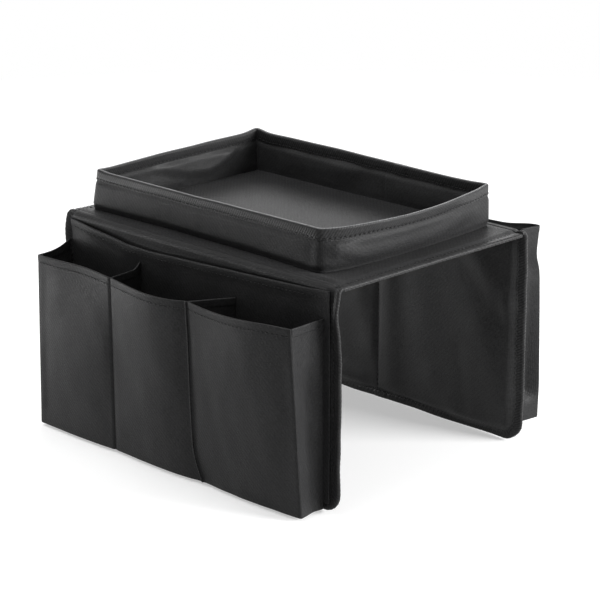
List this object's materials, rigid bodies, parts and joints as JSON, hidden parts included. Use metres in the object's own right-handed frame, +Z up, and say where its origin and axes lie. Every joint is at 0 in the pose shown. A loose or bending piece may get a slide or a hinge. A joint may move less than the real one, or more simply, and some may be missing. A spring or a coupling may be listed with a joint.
{
  "type": "armrest remote control holder",
  "caption": "Cloth holder that hangs over a sofa arm: padded top with a low tray, and side flaps with open pockets for remote controls.",
  "frame": {"origin": "under the middle of the holder's outline, on the plane that the flaps stand on", "axes": "+X along the armrest, +Y across the armrest from the three front pockets to the far flap, +Z up"},
  "size_m": [0.32, 0.2952, 0.219],
  "materials": {
    "outer_cloth": "matt charcoal woven polyester with a fine diagonal rib",
    "lining_cloth": "matt charcoal woven lining",
    "binding_tape": "woven edge tape, slight sheen, stitched along its edge",
    "stiff_board": "plain stiff plastic sheet, hidden inside the cloth"
  },
  "bodies": {
    "top_panel": {"top_cover": "outer_cloth", "top_board": "stiff_board", "top_lining": "lining_cloth", "top_tape_left": "binding_tape", "top_tape_right": "binding_tape", "tray_wall_outer": "outer_cloth", "tray_wall_lining": "lining_cloth", "tray_rim_tape": "binding_tape", "tray_stiffener_front": "stiff_board", "tray_stiffener_right": "stiff_board", "tray_stiffener_back": "stiff_board", "tray_stiffener_left": "stiff_board", "front_fold_cloth": "outer_cloth", "far_fold_cloth": "outer_cloth"},
    "front_flap": {"front_flap_cover": "outer_cloth", "front_flap_board": "stiff_board", "front_flap_lining": "lining_cloth", "front_flap_tape": "binding_tape", "front_pocket_backing": "outer_cloth", "front_pocket_left_face": "outer_cloth", "front_pocket_middle_face": "outer_cloth", "front_pocket_right_face": "outer_cloth", "front_pocket_left_floor": "lining_cloth", "front_pocket_middle_floor": "lining_cloth", "front_pocket_right_floor": "lining_cloth", "front_gusset_left": "lining_cloth", "front_gusset_right": "lining_cloth", "front_divider_1": "lining_cloth", "front_divider_2": "lining_cloth"},
    "far_flap": {"far_flap_cover": "outer_cloth", "far_flap_board": "stiff_board", "far_flap_lining": "lining_cloth", "far_flap_tape": "binding_tape", "far_pocket_left_face": "outer_cloth", "far_pocket_right_face": "outer_cloth", "far_pocket_left_floor": "lining_cloth", "far_pocket_right_floor": "lining_cloth", "far_gusset_left": "lining_cloth", "far_gusset_right": "lining_cloth", "far_divider_1": "lining_cloth"}
  },
  "joints": [
    {"name": "front_flap_fold", "type": "hinge", "parent": "top_panel", "child": "front_flap", "pos_m": [0, -0.09675, 0.1787], "axis": [-1, 0, 0], "range_deg": [-90, 90], "deforming": ["front_fold_cloth"]},
    {"name": "far_flap_fold", "type": "hinge", "parent": "top_panel", "child": "far_flap", "pos_m": [0, 0.11365, 0.1787], "axis": [1, 0, 0], "range_deg": [-30, 90], "deforming": ["far_fold_cloth"]}
  ]
}
